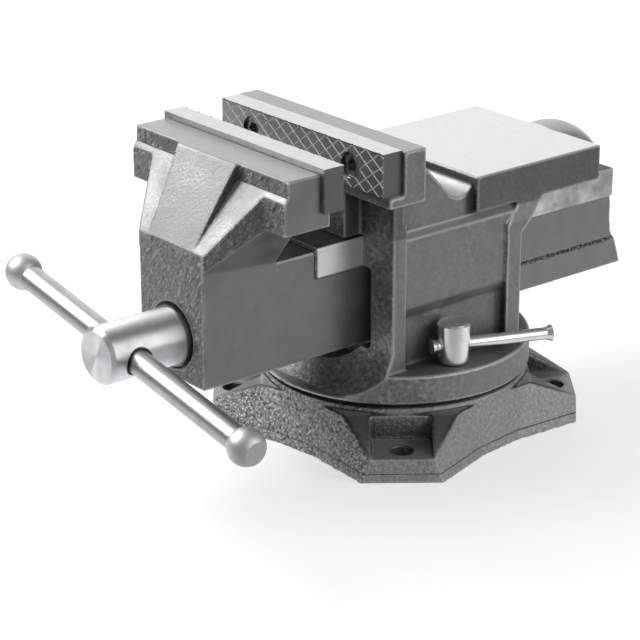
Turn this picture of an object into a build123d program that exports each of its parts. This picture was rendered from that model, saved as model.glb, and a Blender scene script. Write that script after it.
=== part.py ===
"""Bench vise on a turning base, with its anvil, screw, handle and two swivel locks.

Sizes are in millimetres. The origin lies on the bench under the swivel axis: X runs along the jaws,
the screw handle is towards -Y, the anvil towards +Y, and Z is up. Heights are stacked from the bench,
and places along Y follow from the fixed jaw's face, so a change of one size carries the rest along.
"""
import math
import os

from build123d import *

os.makedirs("parts", exist_ok=True)

# Jaw plates; their width is the vise's stated size
jaw_width = 100.0
plate_height = 17.5
plate_thickness = 9.5
jaw_gap = 19.1
jaw_offset = 50.2
plate_screw_spacing = 61.0
plate_screw_dia = 6.0
plate_screw_length = 15.5
screw_head_dia = 10.0
screw_head_height = 6.0
screw_head_sink = 1.2
screw_socket = 5.0
screw_socket_depth = 3.0

# Clearances and fits
slide_gap = 0.2
side_gap = 0.1
running_fit = 0.06
thread_fit = 0.05
loose_gap = 0.3
pin_gap = 0.1
overrun = 4.0

# Swivel base
lobe_count = 4
base_height = 24.0
deck_height = 21.0
swivel_rest = 6.75
lobe_run = 20.4
lobe_foot_share = 0.438
lobe_crest_share = 0.334
lobe_edge_height = 10.8
lobe_flank_angle = 34.7
notch_share = 0.7865
notch_lean = 13.0
hub_rim = 4.4
hub_seat_edge = 1.2
pad_height = 10.6
pad_width = 24.6
pad_back = 10.8
bench_hole_inset = 8.7
bench_hole_dia = 9.4
base_opening_margin = 1.39
base_lip_height = 6.5
lip_overlap = 2.6
lock_plate_height = 8.0
lock_plate_bore = 60.0

# Body: turntable, columns, jaw and anvil
flange_lap = 1.2
flange_relief = 1.3
flange_seat = 2.2
flange_thickness = 13.2
spigot_depth = 4.5
saddle_height = 7.0
channel_width = 52.0
column_width = 14.0
column_front = 35.6
column_rear = 33.6
front_rib = 7.1
rear_rib = 8.0
pocket_depth = 4.0
plaque_depth = 1.7
ledge_depth = 5.5
pocket_height = 20.3
plaque_bevel = 5.0
plaque_height = 28.5
ledge_bevel = 2.0
apron_rise = 9.0
apron_reach = 15.0
apron_foot = 2.4
apron_bow = 2.0
trough_radius = 27.0
trough_depth = 8.0
neck_width = 40.0
neck_front = 8.4
neck_height = 20.9
jaw_overhang = 2.1
jaw_ledge = 4.5
jaw_ledge_depth = 7.3
jaw_backing = 10.6
fixed_plate_proud = 0.3
buttress_top_drop = 2.4
buttress_run = 3.2
valley_start_share = 0.70
valley_bottom_share = 0.83
valley_floor_height = 11.0
valley_slope_height = 12.6
anvil_width = 75.2
anvil_front = 10.5
anvil_length = 69.1
anvil_thickness = 15.1
anvil_clearance = 3.5
rear_rib_bend = 7.6
rear_rib_sweep = 13.6
rear_rib_drop = 5.2
rear_rib_top = 13.8
horn_radius = 22.5
horn_straight = 8.8
horn_taper = 27.6

# Moving jaw and its slider
slider_width = 43.0
slider_height = 46.0
slider_length = 218.3
guide_band_height = 12.6
guide_start = 55.0
rough_top_drop = 1.5
web_step = 1.1
web_foot_width = 42.6
foot_width = 45.2
foot_height = 14.2
foot_slope = 1.0
foot_lift = 2.6
foot_start = 104.0
rear_toe = 5.3
rear_toe_height = 16.0
slider_wall = 7.5
slider_roof = 8.4
slider_front_wall = 12.0
wing_inset = 2.0
wing_ledge = 6.0
wing_ledge_depth = 4.3
moving_plate_proud = 2.2
jaw_bar_depth = 15.4
jaw_band_height = 6.1
jaw_nose = 19.6
nose_height = 54.5
neck_root_drop = 6.9
flank_width = 70.0
flank_depth = 17.8
flank_rise = 17.0
wing_front_step = 1.85
wedge_top_width = 37.0
wedge_foot_width = 28.0
wedge_step = 1.6

# Main screw, its spring and nut
screw_height = 17.2
screw_dia = 18.0
journal_dia = 19.0
screw_reach = 204.0
screw_head_bulk_dia = 23.0
screw_head_length = 34.1
head_edge = 1.5
thrust_washer_dia = 24.6
thrust_washer_height = 3.2
washer_recess = 2.0
washer_recess_rim = 1.0
washer_thickness = 2.0
spring_wire = 2.2
spring_clearance = 1.2
spring_length = 17.8
spring_coils = 4
quarter_turns = 4
split_pin_dia = 4.0
split_pin_length = 26.0
nut_width = 24.0
nut_length = 40.0
nut_front = 22.0
nut_wall = 5.4
nut_bolt_dia = 10.0
nut_bolt_grip = 7.0
nut_bolt_head = 16.0
nut_bolt_head_height = 6.4
nut_bolt_offset = 4.0
nut_dowel_dia = 5.0
nut_dowel_offset = 14.0
nut_dowel_depth = 6.0

# Handle
handle_dia = 10.0
handle_span = 145.8
handle_tilt = 10.5
handle_shift = 4.8
handle_hole_back = 12.1
ball_dia = 14.8
ball_flat_dia = 9.6
ball_tenon_dia = 7.0

# Swivel locks
lock_head_gap = 1.85
lock_front = 7.4
lock_shank_dia = 8.0
lock_head_dia = 13.5
lock_head_height = 17.2
lock_head_edge = 1.6
lock_bar_dia = 5.0
lock_bar_length = 51.4
lock_bar_short_end = 9.4
lock_bar_height = 7.4
lock_bar_turn = 21.8
lock_knob_dia = 6.8
lock_knob_length = 2.4

# Heights, stacked up from the bench
flange_z = base_height
flange_top_z = flange_z + flange_thickness
floor_z = flange_top_z + saddle_height
slider_z = floor_z + slide_gap
slider_top_z = slider_z + slider_height
roof_z = slider_top_z + slide_gap
screw_z = slider_z + screw_height
band_z = slider_top_z - guide_band_height
jaw_z = roof_z + neck_height
plate_z = jaw_z + jaw_ledge
plate_top_z = plate_z + plate_height
plate_mid_z = plate_z + plate_height / 2
fixed_top_z = plate_top_z - fixed_plate_proud
moving_top_z = plate_top_z - moving_plate_proud
anvil_z = roof_z + anvil_clearance
anvil_top_z = anvil_z + anvil_thickness
lip_z = base_height - base_lip_height

# Places along Y, from the fixed jaw's face
fixed_face_y = -jaw_offset
fixed_seat_y = fixed_face_y + plate_thickness
jaw_back_y = fixed_seat_y + jaw_backing
moving_face_y = fixed_face_y - jaw_gap
moving_seat_y = moving_face_y - plate_thickness
bar_front_y = moving_seat_y - jaw_bar_depth
front_y = bar_front_y - jaw_nose
wall_back_y = front_y + slider_front_wall
slider_rear_y = front_y + slider_length
anvil_rear_y = anvil_front + anvil_length
recess_y = front_y + washer_recess
head_back_y = recess_y - thrust_washer_height
head_front_y = head_back_y - screw_head_length
handle_y = head_front_y + handle_hole_back
pin_y = wall_back_y + spring_length + washer_thickness + split_pin_dia / 2 + pin_gap

# Half widths and radii
channel_half = channel_width / 2
column_half = channel_half + column_width
slider_half = slider_width / 2
rough_half = slider_half - web_step
guide_half = slider_half + side_gap
lock_reach = column_half - pocket_depth + lock_head_dia / 2 + lock_head_gap
opening_radius = math.hypot(lock_reach, lock_front) + lock_shank_dia / 2 + base_opening_margin
cavity_radius = opening_radius + lip_overlap
hub_radius = opening_radius + hub_rim
flange_radius = hub_radius + flange_lap
lobe_reach = hub_radius + lobe_run
bolt_radius = lobe_reach - bench_hole_inset
spring_radius = journal_dia / 2 + spring_clearance + spring_wire / 2


def block(x_range, y_range, z_range, mode=Mode.ADD):
    """A box between two limits on each axis, in the part being built."""
    middle = [sum(limits) / 2 for limits in (x_range, y_range, z_range)]
    sides = [limits[1] - limits[0] for limits in (x_range, y_range, z_range)]
    with Locations(tuple(middle)):
        Box(*sides, mode=mode)


def post(x, y, z_range, radius, mode=Mode.ADD):
    """An upright cylinder between two heights."""
    with Locations((x, y, sum(z_range) / 2)):
        Cylinder(radius, z_range[1] - z_range[0], mode=mode)


def rod(x, z, y_range, radius, mode=Mode.ADD):
    """A cylinder along Y between two places."""
    with Locations(Location((x, sum(y_range) / 2, z), (90, 0, 0))):
        Cylinder(radius, y_range[1] - y_range[0], mode=mode)


def side_profile(points, x_range, mode=Mode.ADD):
    """A (y, z) outline pulled along X."""
    with BuildSketch(Plane.YZ.offset(x_range[0])) as outline:
        with BuildLine():
            Polyline(*points, close=True)
        make_face()
    extrude(outline.sketch, amount=x_range[1] - x_range[0], mode=mode)


def end_profile(points, y_range, mode=Mode.ADD):
    """An (x, z) outline pulled along Y."""
    with BuildSketch(Plane(origin=(0, y_range[1], 0), x_dir=(1, 0, 0), z_dir=(0, -1, 0))) as outline:
        with BuildLine():
            Polyline(*points, close=True)
        make_face()
    extrude(outline.sketch, amount=y_range[1] - y_range[0], mode=mode)


def mirrored(points):
    """A right-hand (x, z) chain, from top to bottom, closed by its mirror image."""
    return points + [(-x, z) for x, z in reversed(points)]


def finish(builder, name):
    """Label a sub-part and write its STEP file."""
    builder.part.label = name
    export_step(builder.part, f"parts/{name}.step")


# Swivel base: a drafted block with four lobes, each with a sloping crest, a bolt pad and a bolt hole
flank = math.radians(lobe_flank_angle)
half_step = math.pi / lobe_count
lobe_angles = [swivel_rest + (i + 1 / 2) * 360 / lobe_count for i in range(lobe_count)]
lobe_foot_half = lobe_reach * lobe_foot_share / 2
crest_lean = (lobe_foot_half - lobe_reach * lobe_crest_share / 2) / lobe_edge_height
notch_distance = lobe_reach * notch_share


def base_outline(height):
    """The base's outline at a height: two lobe corners and two notch corners for each lobe."""
    corner = lobe_foot_half - crest_lean * height
    notch = notch_distance - math.tan(math.radians(notch_lean)) * height
    spare = lobe_reach * math.cos(half_step) + corner * math.sin(half_step) - notch
    run = spare / math.cos(half_step + flank)
    lobe = [(lobe_reach - run * math.cos(flank), corner + run * math.sin(flank)), (lobe_reach, corner)]
    points = []
    for angle in lobe_angles:
        turn = math.radians(angle)
        for u, v in [(u, -v) for u, v in lobe] + lobe[::-1]:
            x = u * math.cos(turn) - v * math.sin(turn)
            y = u * math.sin(turn) + v * math.cos(turn)
            points.append((x, y))
    return points


with BuildPart() as swivel_base:
    for height in (0, deck_height):
        with BuildSketch(Plane.XY.offset(height)):
            with BuildLine():
                Polyline(*base_outline(height), close=True)
            make_face()
    loft(ruled=True)
    crest_drop = deck_height - lobe_edge_height
    pad_start = bolt_radius - pad_back
    for angle in lobe_angles:
        turn = math.radians(angle)
        out = Vector(math.cos(turn), math.sin(turn), 0)
        across = Vector(math.sin(turn), -math.cos(turn), 0)
        far = lobe_reach + overrun
        far_z = lobe_edge_height - crest_drop * overrun / lobe_run
        with BuildSketch(Plane(origin=(0, 0, 0), x_dir=out, z_dir=across)):
            with BuildLine():
                Polyline((hub_radius, deck_height), (far, far_z), (far, deck_height + overrun),
                         (hub_radius, deck_height + overrun), close=True)
            make_face()
        extrude(amount=notch_distance, both=True, mode=Mode.SUBTRACT)
        pad_end = lobe_reach + overrun
        with BuildSketch(Plane(origin=(0, 0, pad_height), x_dir=out, z_dir=(0, 0, 1))):
            with Locations(((pad_start + pad_end) / 2, 0)):
                Rectangle(pad_end - pad_start, pad_width)
        extrude(amount=base_height, mode=Mode.SUBTRACT)
    post(0, 0, (0, base_height), hub_radius)
    chamfer(swivel_base.faces().sort_by(Axis.Z)[-1].outer_wire().edges(), hub_seat_edge)
    post(0, 0, (-overrun, lip_z), cavity_radius, Mode.SUBTRACT)
    post(0, 0, (0, base_height + overrun), opening_radius, Mode.SUBTRACT)
    with PolarLocations(bolt_radius, lobe_count, start_angle=lobe_angles[0]):
        Cylinder(bench_hole_dia / 2, 2 * base_height, mode=Mode.SUBTRACT)
finish(swivel_base, "swivel_base")

# Lock plate: a ring that the two lock bolts pull up against the base's lip
plate_low_z = lip_z - lock_plate_height
lock_places = [(lock_reach, -lock_front), (-lock_reach, -lock_front)]
with BuildPart() as lock_plate:
    post(0, 0, (plate_low_z, lip_z), cavity_radius - loose_gap)
    post(0, 0, (plate_low_z, lip_z), lock_plate_bore / 2, Mode.SUBTRACT)
    for x, y in lock_places:
        post(x, y, (plate_low_z, lip_z), lock_shank_dia / 2 + thread_fit, Mode.SUBTRACT)
finish(lock_plate, "lock_plate")

# Body: turntable, two columns round the slider, roof, fixed jaw, anvil and horn in one casting
apron_z = flange_z + apron_foot
apron_top_z = flange_top_z + apron_rise
apron_y = -column_front - apron_reach
valley_y = jaw_back_y + buttress_run
valley_run = anvil_front - valley_y
column_y = (-column_front, column_rear)
panel_y = (-column_front + front_rib, column_rear - rear_rib)
pocket_z = flange_top_z + pocket_height
plaque_z = pocket_z + plaque_bevel
plaque_top_z = plaque_z + plaque_height
rib_bend_z = anvil_z - rear_rib_bend
rib_back_z = rib_bend_z - rear_rib_drop
rib_top_y = column_rear + rear_rib_sweep
horn_z = anvil_top_z - horn_radius
horn_y = anvil_rear_y + horn_straight
horn_tip_y = horn_y + horn_taper
with BuildPart() as vise_body:
    # Apron under the column fronts, sloping down to the turntable's rim
    with BuildSketch(Plane.YZ.offset(-column_half)):
        with BuildLine():
            Polyline((-column_front, apron_top_z), (-column_front, flange_z), (-flange_radius, flange_z),
                     (-flange_radius, apron_z), (apron_y, apron_z))
            ThreePointArc((apron_y, apron_z), ((apron_y - column_front) / 2 + apron_bow,
                          (apron_z + apron_top_z) / 2 - apron_bow), (-column_front, apron_top_z))
        make_face()
    extrude(amount=2 * column_half)
    post(0, 0, (flange_z, apron_top_z), flange_radius, Mode.INTERSECT)
    block((-channel_half, channel_half), (-flange_radius, -column_front), (floor_z, apron_top_z),
          Mode.SUBTRACT)
    # Horn behind the anvil: a round bar that tapers to a blunt point, flat below
    with BuildSketch(Plane.YZ):
        with BuildLine():
            Polyline((horn_tip_y, horn_z), (anvil_front, horn_z), (anvil_front, anvil_top_z),
                     (horn_y, anvil_top_z))
            Bezier((horn_y, anvil_top_z), ((horn_y + horn_tip_y) / 2, anvil_top_z), (horn_tip_y, horn_z))
        make_face()
    revolve(axis=Axis((0, 0, horn_z), (0, 1, 0)))
    block((-anvil_width, anvil_width), (0, horn_tip_y + overrun), (horn_z - 2 * horn_radius, anvil_z),
          Mode.SUBTRACT)
    # Turntable with its spigot, the saddle floor and the columns with their guide lips
    post(0, 0, (flange_z, apron_z), flange_radius)
    with BuildSketch(Plane.XY.offset(apron_z)):
        Circle(flange_radius)
        with Locations((0, -column_front - flange_radius)):
            Rectangle(2 * column_half, 2 * flange_radius, mode=Mode.SUBTRACT)
    extrude(amount=flange_top_z - apron_z)
    with BuildSketch(Plane.XY.offset(flange_z)):
        Circle(flange_radius + overrun)
        Circle(opening_radius + flange_seat, mode=Mode.SUBTRACT)
    extrude(amount=flange_relief, mode=Mode.SUBTRACT)
    post(0, 0, (flange_z - spigot_depth, flange_z), opening_radius - running_fit)
    block((-channel_half, channel_half), column_y, (flange_top_z, floor_z))
    rod(0, screw_z, (-flange_radius, -column_front + trough_depth), trough_radius, Mode.SUBTRACT)
    for side in (-1, 1):
        x_column = sorted((side * channel_half, side * column_half))
        x_guide = sorted((side * guide_half, side * channel_half))
        block(x_column, column_y, (flange_top_z, jaw_z))
        block(x_guide, column_y, (band_z, jaw_z))
        cut = [(column_half - pocket_depth, flange_top_z), (column_half - pocket_depth, pocket_z),
               (column_half - plaque_depth, plaque_z), (column_half - plaque_depth, plaque_top_z),
               (column_half - ledge_depth, plaque_top_z + ledge_bevel),
               (column_half - ledge_depth, jaw_z + overrun), (column_half + overrun, jaw_z + overrun),
               (column_half + overrun, flange_top_z)]
        end_profile([(side * x, z) for x, z in cut], panel_y, Mode.SUBTRACT)
        over_rib = [(column_half - plaque_depth, rib_bend_z)] + cut[3:-1] + [(column_half + overrun, rib_bend_z)]
        end_profile([(side * x, z) for x, z in over_rib], (panel_y[1], column_rear + overrun), Mode.SUBTRACT)
    block((-guide_half, guide_half), column_y, (roof_z, jaw_z))
    block((-column_half, column_half), (jaw_back_y, column_rear + overrun),
          (anvil_z + overrun, jaw_z + overrun), Mode.SUBTRACT)
    # Rear ribs, swept back to carry the anvil and leaning in to its sides
    for side in (-1, 1):
        x_rib = sorted((side * channel_half, side * column_half))
        side_profile([(column_rear - rear_rib, rib_back_z), (column_rear, rib_back_z), (rib_top_y, anvil_z),
                      (rib_top_y - rear_rib_top, anvil_z), (column_rear - rear_rib, rib_bend_z)], x_rib)
        lean = [(column_half, rib_bend_z), (column_half + overrun, rib_bend_z),
                (column_half + overrun, anvil_z), (anvil_width / 2, anvil_z)]
        end_profile([(side * x, z) for x, z in lean], (panel_y[1], rib_top_y + overrun), Mode.SUBTRACT)
    # Buttress behind the jaw, falling to the valley in front of the anvil
    web_half = column_half - ledge_depth
    with BuildSketch(Plane.YZ.offset(-web_half)):
        with BuildLine():
            top = (valley_y, fixed_top_z - buttress_top_drop)
            foot = (valley_y + valley_start_share * valley_run, roof_z + valley_slope_height)
            low = (valley_y + valley_bottom_share * valley_run, roof_z + valley_floor_height)
            end = (anvil_front, anvil_top_z - buttress_run)
            Polyline(end, (anvil_front, roof_z), (-column_front, roof_z), (-column_front, jaw_z),
                     (fixed_seat_y, jaw_z), (jaw_back_y, top[1]), top, foot)
            ThreePointArc(foot, low, end)
        make_face()
    extrude(amount=2 * web_half)
    # Neck, jaw block and anvil
    block((-neck_width / 2, neck_width / 2), (-column_front - neck_front, -column_front), (roof_z, jaw_z))
    jaw_half = jaw_width / 2 + jaw_overhang
    side_profile([(fixed_seat_y - jaw_ledge_depth, jaw_z), (fixed_seat_y - jaw_ledge_depth, plate_z),
                  (fixed_seat_y, plate_z), (fixed_seat_y, fixed_top_z), (jaw_back_y, fixed_top_z),
                  (jaw_back_y, jaw_z)], (-jaw_half, jaw_half))
    block((-anvil_width / 2, anvil_width / 2), (anvil_front, anvil_rear_y), (anvil_z, anvil_top_z))
    block((-web_half, web_half), (0, rib_top_y - rear_rib), (roof_z, anvil_z))
    # Holes for the jaw screws, the lock bolts and the nut's bolt and dowel
    hole_end = fixed_face_y + screw_head_sink + screw_head_height + plate_screw_length + loose_gap
    for x in (-plate_screw_spacing / 2, plate_screw_spacing / 2):
        rod(x, plate_mid_z, (fixed_seat_y, hole_end), plate_screw_dia / 2 + thread_fit, Mode.SUBTRACT)
    for x, y in lock_places:
        post(x, y, (0, flange_top_z), lock_shank_dia / 2 + loose_gap, Mode.SUBTRACT)
    nut_y = -nut_front + nut_length / 2
    post(0, nut_y + nut_bolt_offset, (0, floor_z), nut_bolt_dia / 2 + loose_gap, Mode.SUBTRACT)
    post(0, nut_y + nut_bolt_offset, (0, flange_z - spigot_depth + nut_bolt_head_height + loose_gap),
         nut_bolt_head * math.sqrt(1 / 3) + loose_gap, Mode.SUBTRACT)
    post(0, nut_y - nut_dowel_offset, (floor_z - nut_dowel_depth, floor_z), nut_dowel_dia / 2 + thread_fit,
         Mode.SUBTRACT)
finish(vise_body, "vise_body")


def jaw_plate(face_y, facing):
    """A hardened plate with two counterbored screw holes; facing is the side of its gripping face."""
    y_range = sorted((face_y, face_y - facing * plate_thickness))
    sink = face_y - facing * (screw_head_height + screw_head_sink)
    block((-jaw_width / 2, jaw_width / 2), y_range, (plate_z, plate_top_z))
    for x in (-plate_screw_spacing / 2, plate_screw_spacing / 2):
        rod(x, plate_mid_z, y_range, plate_screw_dia / 2 + loose_gap, Mode.SUBTRACT)
        rod(x, plate_mid_z, sorted((face_y, sink)), screw_head_dia / 2 + loose_gap, Mode.SUBTRACT)


def jaw_screws(face_y, facing):
    """The two socket-head screws of a jaw plate, seated in its counterbores."""
    head_top = face_y - facing * screw_head_sink
    seat = head_top - facing * screw_head_height
    tip = seat - facing * plate_screw_length
    for x in (-plate_screw_spacing / 2, plate_screw_spacing / 2):
        rod(x, plate_mid_z, sorted((head_top, seat)), screw_head_dia / 2)
        rod(x, plate_mid_z, sorted((seat, tip)), plate_screw_dia / 2)
        head_face = Plane(origin=(x, head_top, plate_mid_z), x_dir=(1, 0, 0), z_dir=(0, facing, 0))
        with BuildSketch(head_face) as socket:
            RegularPolygon(screw_socket / 2, 6, major_radius=False)
        extrude(socket.sketch, amount=-screw_socket_depth, mode=Mode.SUBTRACT)


with BuildPart() as fixed_jaw_plate:
    jaw_plate(fixed_face_y, -1)
finish(fixed_jaw_plate, "fixed_jaw_plate")

with BuildPart() as fixed_jaw_screws:
    jaw_screws(fixed_face_y, -1)
finish(fixed_jaw_screws, "fixed_jaw_screws")

with BuildPart() as moving_jaw_plate:
    jaw_plate(moving_face_y, 1)
finish(moving_jaw_plate, "moving_jaw_plate")

with BuildPart() as moving_jaw_screws:
    jaw_screws(moving_face_y, 1)
finish(moving_jaw_screws, "moving_jaw_screws")

# Moving jaw: sloping nose with a raised wedge, wings, and the long slider under them
wing_half = jaw_width / 2 - wing_inset
nose_z = slider_z + nose_height
root_z = nose_z - neck_root_drop
rough_top_z = slider_top_z - rough_top_drop
band_low_z = moving_top_z - jaw_band_height
facet_slope = (band_low_z - nose_z) / jaw_nose
wing_front_y = bar_front_y - wing_front_step
wing_crease_z = band_low_z - facet_slope * wing_front_step
wing_z = plate_z - wing_ledge
guide_y = front_y + guide_start
flank_y = front_y + flank_depth
with BuildPart() as moving_jaw:
    with BuildSketch(Plane.XY.offset(slider_z)):
        with BuildLine():
            Polyline((rough_half, front_y), (flank_width / 2, flank_y), (flank_width / 2, moving_seat_y),
                     (-flank_width / 2, moving_seat_y), (-flank_width / 2, flank_y), (-rough_half, front_y),
                     close=True)
        make_face()
    extrude(amount=band_low_z - slider_z)
    far_y = front_y - overrun
    side_profile([(bar_front_y, band_low_z), (far_y, nose_z - facet_slope * overrun),
                  (far_y, band_low_z + overrun), (bar_front_y, band_low_z + overrun)],
                 (-flank_width, flank_width), Mode.SUBTRACT)
    # Undersides of the flanks: one sloping plane each side, from the nose up to the wing
    for side in (-1, 1):
        nose = Vector(side * rough_half, front_y, root_z)
        wing = Vector(side * flank_width / 2, flank_y, root_z + flank_rise)
        tail = Vector(side * rough_half, moving_seat_y, rough_top_z)
        down = (wing - nose).cross(tail - nose) * -side
        with BuildSketch(Plane(origin=nose, x_dir=wing - nose, z_dir=down)):
            Rectangle(slider_length * 2, slider_length * 2)
        extrude(amount=slider_length, mode=Mode.SUBTRACT)
    # Raised wedge in the middle of the nose
    end_profile([(wedge_foot_width / 2, nose_z), (wedge_top_width / 2, moving_top_z),
                 (-wedge_top_width / 2, moving_top_z), (-wedge_foot_width / 2, nose_z)],
                (front_y, moving_seat_y))
    wedge_y = bar_front_y - wedge_step
    wedge_slope = (moving_top_z - nose_z) / (wedge_y - front_y)
    side_profile([(wedge_y + overrun, moving_top_z + wedge_slope * overrun),
                  (far_y, nose_z - wedge_slope * overrun), (far_y, moving_top_z + wedge_slope * overrun)],
                 (-flank_width, flank_width), Mode.SUBTRACT)
    # Wings with the bar that backs the plate and the ledge below it
    side_profile([(wing_front_y, wing_z), (wing_front_y, wing_crease_z), (bar_front_y, band_low_z),
                  (bar_front_y, moving_top_z), (moving_seat_y, moving_top_z), (moving_seat_y, plate_z),
                  (moving_seat_y + wing_ledge_depth, plate_z), (moving_seat_y + wing_ledge_depth, wing_z)],
                 (-wing_half, wing_half))
    # Slider: rough box in front, then the guide band, web and foot, hollow below
    block((-rough_half, rough_half), (front_y, guide_y), (slider_z, rough_top_z))
    block((-rough_half, rough_half), (front_y, moving_seat_y), (rough_top_z, root_z))
    foot_y = front_y + foot_start
    foot_z = slider_z + foot_height
    band = [(slider_half, slider_top_z), (slider_half, band_z), (rough_half, band_z)]
    end_profile(mirrored(band + [(rough_half, slider_z)]), (guide_y, foot_y))
    toe_y = slider_rear_y + rear_toe
    toe_z = slider_z + foot_lift
    end_profile(mirrored(band + [(web_foot_width / 2, foot_z + foot_slope), (foot_width / 2, foot_z),
                                 (foot_width / 2, toe_z)]), (foot_y, toe_y))
    side_profile([(toe_y, toe_z), (slider_rear_y, toe_z + rear_toe_height), (slider_rear_y, slider_top_z),
                  (toe_y, slider_top_z)], (-foot_width, foot_width), Mode.SUBTRACT)
    hollow_half = slider_half - slider_wall
    block((-hollow_half, hollow_half), (wall_back_y, toe_y), (slider_z, slider_top_z - slider_roof),
          Mode.SUBTRACT)
    rod(0, screw_z, (front_y, wall_back_y), journal_dia / 2 + running_fit, Mode.SUBTRACT)
    rod(0, screw_z, (front_y, recess_y), thrust_washer_dia / 2 + washer_recess_rim, Mode.SUBTRACT)
    hole_end = moving_face_y - screw_head_sink - screw_head_height - plate_screw_length - loose_gap
    for x in (-plate_screw_spacing / 2, plate_screw_spacing / 2):
        rod(x, plate_mid_z, (hole_end, moving_seat_y), plate_screw_dia / 2 + thread_fit, Mode.SUBTRACT)
finish(moving_jaw, "moving_jaw")

# Main screw: head with a cross hole, journal in the jaw, thread to the rear; its pin hole is drilled across
handle_turn = math.radians(handle_tilt)
handle_axis = Vector(math.cos(handle_turn), 0, -math.sin(handle_turn))
handle_plane = Plane(origin=(0, handle_y, screw_z), x_dir=(0, 1, 0), z_dir=handle_axis)
screw_end_y = front_y + screw_reach
journal_end_y = pin_y + split_pin_dia
with BuildPart() as main_screw:
    rod(0, screw_z, (head_front_y, head_back_y), screw_head_bulk_dia / 2)
    chamfer(main_screw.faces().sort_by(Axis.Y)[0].edges(), head_edge)
    rod(0, screw_z, (head_back_y, journal_end_y), journal_dia / 2)
    rod(0, screw_z, (journal_end_y, screw_end_y), screw_dia / 2)
    chamfer(main_screw.faces().sort_by(Axis.Y)[-1].edges(), head_edge)
    with BuildSketch(handle_plane):
        Circle(handle_dia / 2 + running_fit)
    extrude(amount=screw_head_bulk_dia, both=True, mode=Mode.SUBTRACT)
    with Locations(Location((0, pin_y, screw_z), (0, 90, 0))):
        Cylinder(split_pin_dia / 2 + thread_fit, 2 * journal_dia, mode=Mode.SUBTRACT)
finish(main_screw, "main_screw")


def washer(y_range):
    """A flat ring round the screw's journal."""
    rod(0, screw_z, y_range, thrust_washer_dia / 2)
    rod(0, screw_z, y_range, journal_dia / 2 + running_fit, Mode.SUBTRACT)


with BuildPart() as thrust_washer:
    washer((head_back_y, recess_y))
finish(thrust_washer, "thrust_washer")

spring_washer_y = wall_back_y + spring_length
with BuildPart() as spring_washer:
    washer((spring_washer_y, spring_washer_y + washer_thickness))
finish(spring_washer, "spring_washer")

with BuildPart() as split_pin:
    with Locations(Location((0, pin_y, screw_z), (0, 90, 0))):
        Cylinder(split_pin_dia / 2, split_pin_length)
finish(split_pin, "split_pin")

# Take-up spring behind the jaw's front wall: its turns are pairs of tangent arcs, a quarter turn to a pair
spring_lead = (spring_length - spring_wire - 2 * pin_gap) / spring_coils
spring_start_y = wall_back_y + spring_wire / 2 + pin_gap
spring_climb = spring_lead / (2 * math.pi)


def spring_point(turn):
    """A point on the spring's helix, at an angle in radians."""
    x = spring_radius * math.sin(turn)
    z = screw_z + spring_radius * math.cos(turn)
    return Vector(x, spring_start_y + spring_climb * turn, z)


def spring_heading(turn):
    """The helix's direction at that angle."""
    return Vector(spring_radius * math.cos(turn), spring_climb, -spring_radius * math.sin(turn)).normalized()


def biarc_joint(start, start_way, end, end_way):
    """Where two arcs meet that leave one point and reach another in given directions, and their way there."""
    chord = end - start
    ways = start_way + end_way
    spread = 2 * (1 - start_way.dot(end_way))
    reach = (-chord.dot(ways) + math.sqrt(chord.dot(ways) ** 2 + spread * chord.dot(chord))) / spread
    first, second = start + start_way * reach, end - end_way * reach
    return (first + second) * (1 / 2), second - first


with BuildPart() as take_up_spring:
    with BuildLine() as spring_path:
        quarter = 2 * math.pi / quarter_turns
        for i in range(spring_coils * quarter_turns):
            start, end = spring_point(i * quarter), spring_point((i + 1) * quarter)
            start_way, end_way = spring_heading(i * quarter), spring_heading((i + 1) * quarter)
            joint, joint_way = biarc_joint(start, start_way, end, end_way)
            TangentArc(start, joint, tangent=start_way)
            TangentArc(joint, end, tangent=joint_way)
    with BuildSketch(Plane(origin=spring_point(0), z_dir=spring_heading(0))):
        Circle(spring_wire / 2)
    sweep(path=spring_path.wires()[0])
finish(take_up_spring, "take_up_spring")
full_turn = quarter_turns * quarter_turns
track = [spring_point(i * quarter / quarter_turns) for i in range(spring_coils * full_turn + 1)]
count = len(track)
gaps = [(track[i] - track[j]).length for i in range(count) for j in range(i + full_turn // 2, count)]
print(f"spring: least gap between turns {min(gaps) - spring_wire:.2f} mm")

# Main nut on the saddle floor, with its bolt from below and its dowel
nut_top_z = screw_z + screw_dia / 2 + nut_wall
nut_bolt_y = nut_y + nut_bolt_offset
nut_bolt_top_z = floor_z + nut_bolt_grip
nut_dowel_y = nut_y - nut_dowel_offset
with BuildPart() as main_nut:
    block((-nut_width / 2, nut_width / 2), (-nut_front, nut_length - nut_front), (floor_z, nut_top_z))
    rod(0, screw_z, (-nut_front, nut_length - nut_front), screw_dia / 2 + thread_fit, Mode.SUBTRACT)
    post(0, nut_bolt_y, (floor_z, nut_bolt_top_z), nut_bolt_dia / 2 + thread_fit, Mode.SUBTRACT)
    post(0, nut_dowel_y, (floor_z, floor_z + nut_dowel_depth), nut_dowel_dia / 2 + thread_fit, Mode.SUBTRACT)
finish(main_nut, "main_nut")

bolt_seat_z = flange_z - spigot_depth + nut_bolt_head_height + loose_gap
with BuildPart() as nut_bolt:
    post(0, nut_bolt_y, (bolt_seat_z, nut_bolt_top_z), nut_bolt_dia / 2)
    with BuildSketch(Plane(origin=(0, nut_bolt_y, bolt_seat_z), z_dir=(0, 0, -1))):
        RegularPolygon(nut_bolt_head / 2, 6, major_radius=False)
    extrude(amount=nut_bolt_head_height)
finish(nut_bolt, "nut_bolt")

with BuildPart() as nut_dowel:
    post(0, nut_dowel_y, (floor_z - nut_dowel_depth, floor_z + nut_dowel_depth), nut_dowel_dia / 2)
finish(nut_dowel, "nut_dowel")

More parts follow.
